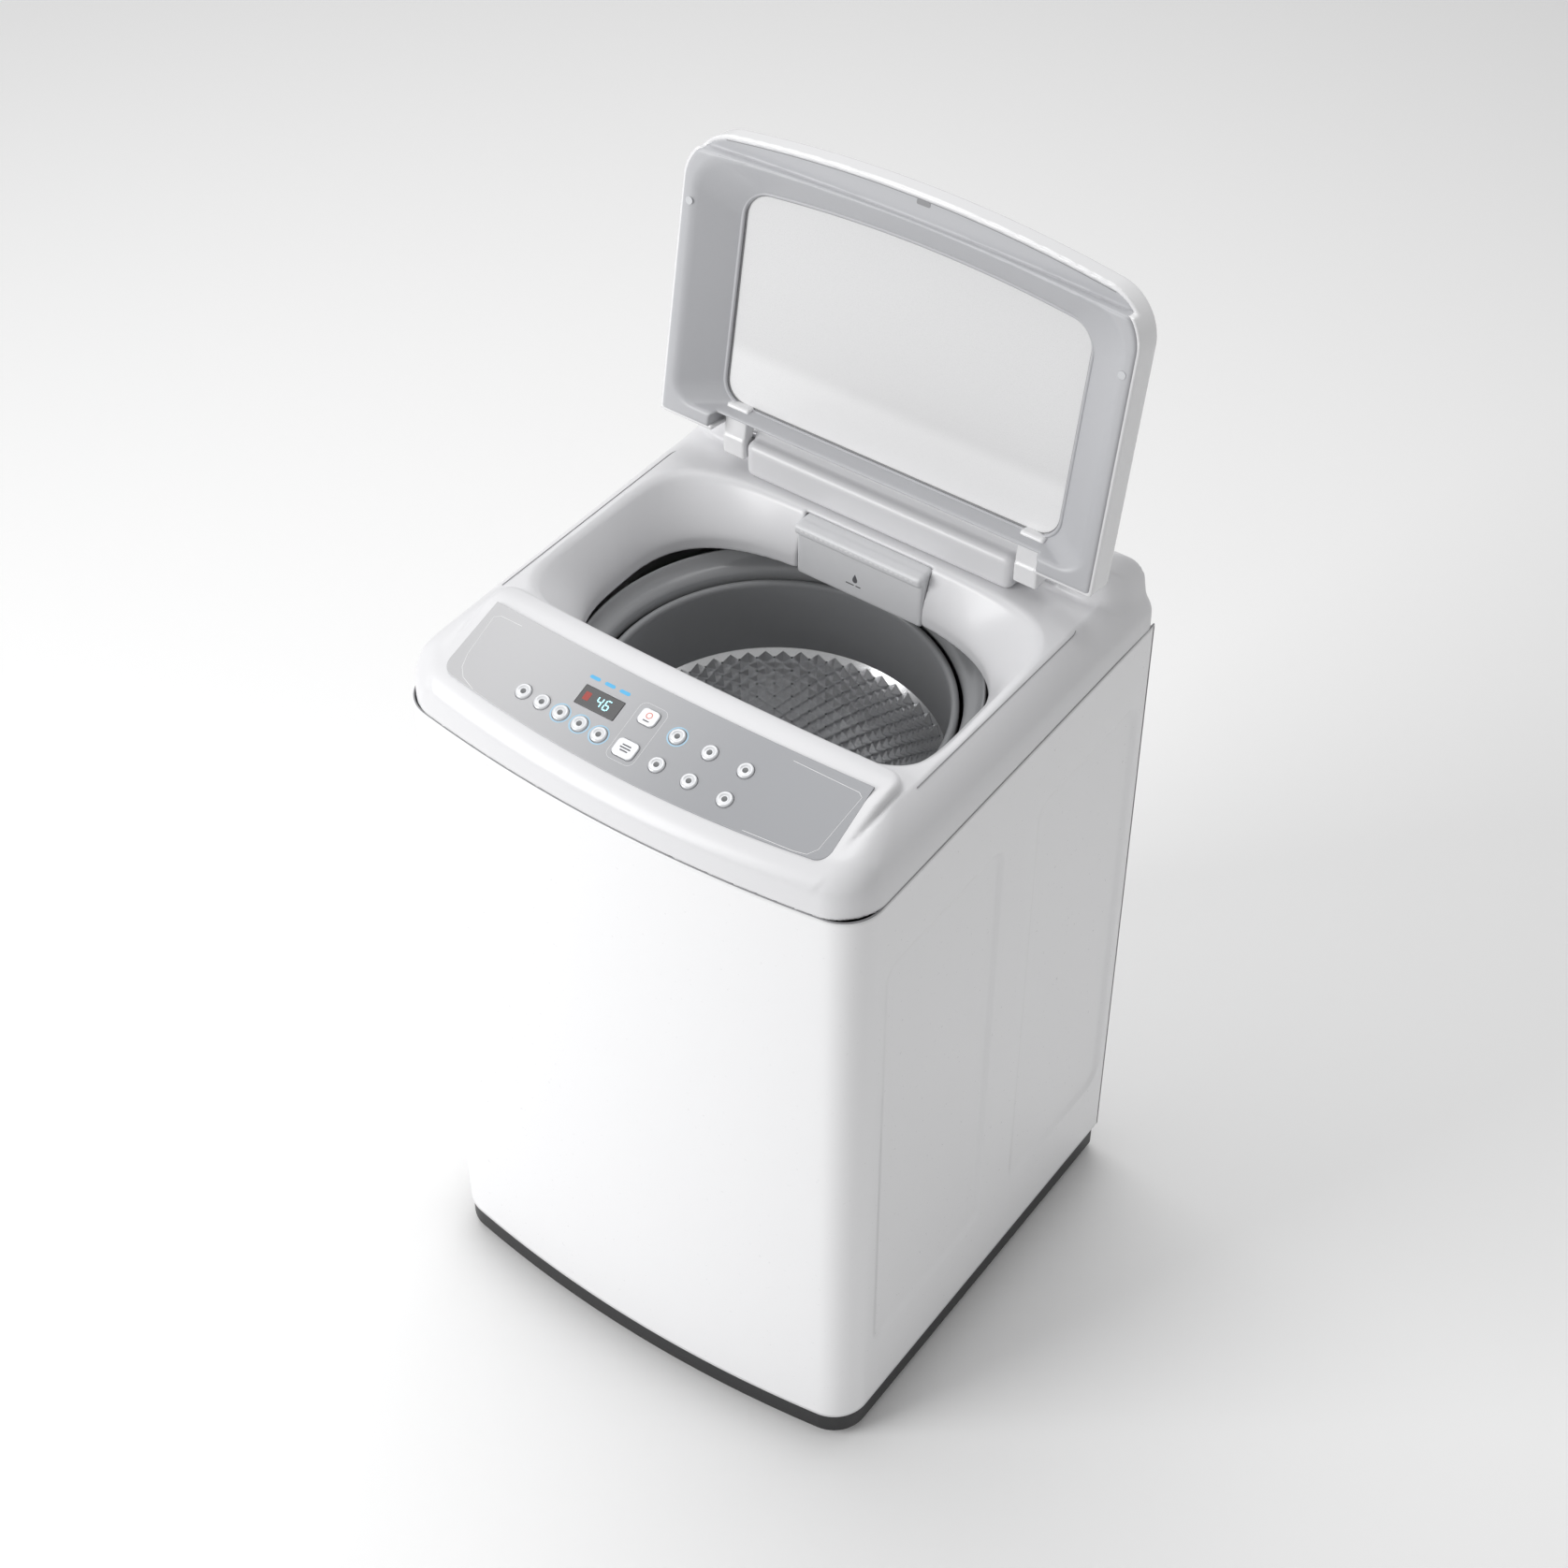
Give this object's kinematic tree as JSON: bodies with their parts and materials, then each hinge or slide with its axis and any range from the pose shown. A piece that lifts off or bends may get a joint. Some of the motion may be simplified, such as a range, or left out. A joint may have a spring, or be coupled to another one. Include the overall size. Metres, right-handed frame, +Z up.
{
  "type": "top load washing machine",
  "caption": "Upright white washing machine with a hinged lid that opens on a deep well, a spinning basket with a pulsator, and a sloping control panel.",
  "frame": {"origin": "floor level, under the middle of the cabinet", "axes": "+X to the right seen from the front, -Y towards the user, +Z up"},
  "size_m": [0.54, 0.54, 1.235],
  "materials": {
    "enamel": "smooth white enamel",
    "black_plastic": "matt black",
    "white_plastic": "satin white",
    "inner_plastic": "pale grey",
    "frosted_window": "frosted",
    "panel_film": "silver grey film",
    "display_glass": "black, glossy",
    "circuit_board": "green lacquer",
    "button_plastic": "satin silver white",
    "dark_plastic": "dark grey",
    "rubber": "black rubber",
    "grey_plastic": "mid grey",
    "steel": "bright",
    "stainless": "pressed stainless",
    "zinc_steel": "zinc plated",
    "cast_metal": "cast"
  },
  "bodies": {
    "casing": {"cabinet": "enamel", "back_panel": "enamel", "base_frame": "black_plastic", "top_cover": "white_plastic", "hinge_cover": "white_plastic", "hinge_pins": "steel", "control_panel": "panel_film", "display_window": "display_glass", "control_board": "circuit_board", "lid_switch": "dark_plastic", "pressure_switch": "dark_plastic", "inlet_valve": "white_plastic", "cord_gland": "dark_plastic", "drain_outlet": "dark_plastic", "case_screws": "steel", "wiring_loom": "grey_plastic", "suspension_rods": "steel", "suspension_springs": "steel", "damper_cups": "dark_plastic", "outer_tub": "grey_plastic", "tub_cover": "grey_plastic", "tub_support": "zinc_steel", "gearbox": "cast_metal", "shaft_bearings": "steel", "shaft_seal": "rubber", "motor": "cast_metal", "drive_belt": "rubber", "drain_valve": "inner_plastic", "drain_hose": "grey_plastic"},
    "lid": {"lid_outer": "white_plastic", "lid_inner_frame": "inner_plastic", "lid_window": "frosted_window", "lid_bumpers": "rubber"},
    "spin_basket": {"basket": "stainless", "balance_ring": "grey_plastic", "basket_base": "grey_plastic", "lint_filter": "inner_plastic", "spin_tube": "steel"},
    "wash_drive": {"pulsator": "grey_plastic", "wash_shaft": "steel", "drum_pulley": "dark_plastic"},
    "motor_rotor": {"motor_pulley": "cast_metal"},
    "drawer": {"detergent_drawer": "inner_plastic"},
    "button_option_1_body": {"button_option_1": "button_plastic"},
    "button_option_2_body": {"button_option_2": "button_plastic"},
    "button_option_3_body": {"button_option_3": "button_plastic"},
    "button_option_4_body": {"button_option_4": "button_plastic"},
    "button_option_5_body": {"button_option_5": "button_plastic"},
    "button_power_body": {"button_power": "button_plastic"},
    "button_start_body": {"button_start": "button_plastic"},
    "button_program_1_body": {"button_program_1": "button_plastic"},
    "button_program_2_body": {"button_program_2": "button_plastic"},
    "button_program_3_body": {"button_program_3": "button_plastic"},
    "button_program_4_body": {"button_program_4": "button_plastic"},
    "button_program_5_body": {"button_program_5": "button_plastic"},
    "button_program_6_body": {"button_program_6": "button_plastic"},
    "foot_front_left_body": {"foot_front_left": "rubber"},
    "foot_front_right_body": {"foot_front_right": "rubber"},
    "foot_rear_left_body": {"foot_rear_left": "rubber"},
    "foot_rear_right_body": {"foot_rear_right": "rubber"}
  },
  "joints": [
    {"name": "lid_hinge", "type": "hinge", "parent": "casing", "child": "lid", "pos_m": [0, 0.189, 0.905], "axis": [1, 0, 0], "range_deg": [0, 99]},
    {"name": "button_option_1_press", "type": "slide", "parent": "casing", "child": "button_option_1_body", "axis": [0, 0.319, -0.9478], "range_m": [0, 0.0012], "stiffness_N_per_m": 600, "springref_m": -0.0015},
    {"name": "button_option_2_press", "type": "slide", "parent": "casing", "child": "button_option_2_body", "axis": [0, 0.319, -0.9478], "range_m": [0, 0.0012], "stiffness_N_per_m": 600, "springref_m": -0.0015},
    {"name": "button_option_3_press", "type": "slide", "parent": "casing", "child": "button_option_3_body", "axis": [0, 0.319, -0.9478], "range_m": [0, 0.0012], "stiffness_N_per_m": 600, "springref_m": -0.0015},
    {"name": "button_option_4_press", "type": "slide", "parent": "casing", "child": "button_option_4_body", "axis": [0, 0.319, -0.9478], "range_m": [0, 0.0012], "stiffness_N_per_m": 600, "springref_m": -0.0015},
    {"name": "button_option_5_press", "type": "slide", "parent": "casing", "child": "button_option_5_body", "axis": [0, 0.319, -0.9478], "range_m": [0, 0.0012], "stiffness_N_per_m": 600, "springref_m": -0.0015},
    {"name": "button_power_press", "type": "slide", "parent": "casing", "child": "button_power_body", "axis": [0, 0.319, -0.9478], "range_m": [0, 0.0012], "stiffness_N_per_m": 600, "springref_m": -0.0015},
    {"name": "button_start_press", "type": "slide", "parent": "casing", "child": "button_start_body", "axis": [0, 0.319, -0.9478], "range_m": [0, 0.0012], "stiffness_N_per_m": 600, "springref_m": -0.0015},
    {"name": "button_program_1_press", "type": "slide", "parent": "casing", "child": "button_program_1_body", "axis": [0, 0.319, -0.9478], "range_m": [0, 0.0012], "stiffness_N_per_m": 600, "springref_m": -0.0015},
    {"name": "button_program_2_press", "type": "slide", "parent": "casing", "child": "button_program_2_body", "axis": [0, 0.319, -0.9478], "range_m": [0, 0.0012], "stiffness_N_per_m": 600, "springref_m": -0.0015},
    {"name": "button_program_3_press", "type": "slide", "parent": "casing", "child": "button_program_3_body", "axis": [0, 0.319, -0.9478], "range_m": [0, 0.0012], "stiffness_N_per_m": 600, "springref_m": -0.0015},
    {"name": "button_program_4_press", "type": "slide", "parent": "casing", "child": "button_program_4_body", "axis": [0, 0.319, -0.9478], "range_m": [0, 0.0012], "stiffness_N_per_m": 600, "springref_m": -0.0015},
    {"name": "button_program_5_press", "type": "slide", "parent": "casing", "child": "button_program_5_body", "axis": [0, 0.319, -0.9478], "range_m": [0, 0.0012], "stiffness_N_per_m": 600, "springref_m": -0.0015},
    {"name": "button_program_6_press", "type": "slide", "parent": "casing", "child": "button_program_6_body", "axis": [0, 0.319, -0.9478], "range_m": [0, 0.0012], "stiffness_N_per_m": 600, "springref_m": -0.0015},
    {"name": "basket_spin", "type": "hinge", "parent": "casing", "child": "spin_basket", "pos_m": [0, 0, 0.5], "axis": [0, 0, 1], "continuous": true},
    {"name": "wash_spin", "type": "hinge", "parent": "casing", "child": "wash_drive", "pos_m": [0, 0, 0.3], "axis": [0, 0, 1], "continuous": true},
    {"name": "motor_spin", "type": "hinge", "parent": "casing", "child": "motor_rotor", "pos_m": [0, 0.15, 0.16], "axis": [0, 0, 1], "continuous": true},
    {"name": "drawer_slide", "type": "slide", "parent": "casing", "child": "drawer", "axis": [0, -1, 0], "range_m": [0, 0.035]},
    {"name": "foot_front_left_screw", "type": "slide", "parent": "casing", "child": "foot_front_left_body", "axis": [0, 0, 1], "range_m": [-0.012, 0]},
    {"name": "foot_front_right_screw", "type": "slide", "parent": "casing", "child": "foot_front_right_body", "axis": [0, 0, 1], "range_m": [-0.012, 0]},
    {"name": "foot_rear_left_screw", "type": "slide", "parent": "casing", "child": "foot_rear_left_body", "axis": [0, 0, 1], "range_m": [-0.012, 0]},
    {"name": "foot_rear_right_screw", "type": "slide", "parent": "casing", "child": "foot_rear_right_body", "axis": [0, 0, 1], "range_m": [-0.012, 0]}
  ],
  "couplings": [
    {"joint": "motor_spin", "follows": "wash_spin", "ratio": 4.3537}
  ]
}
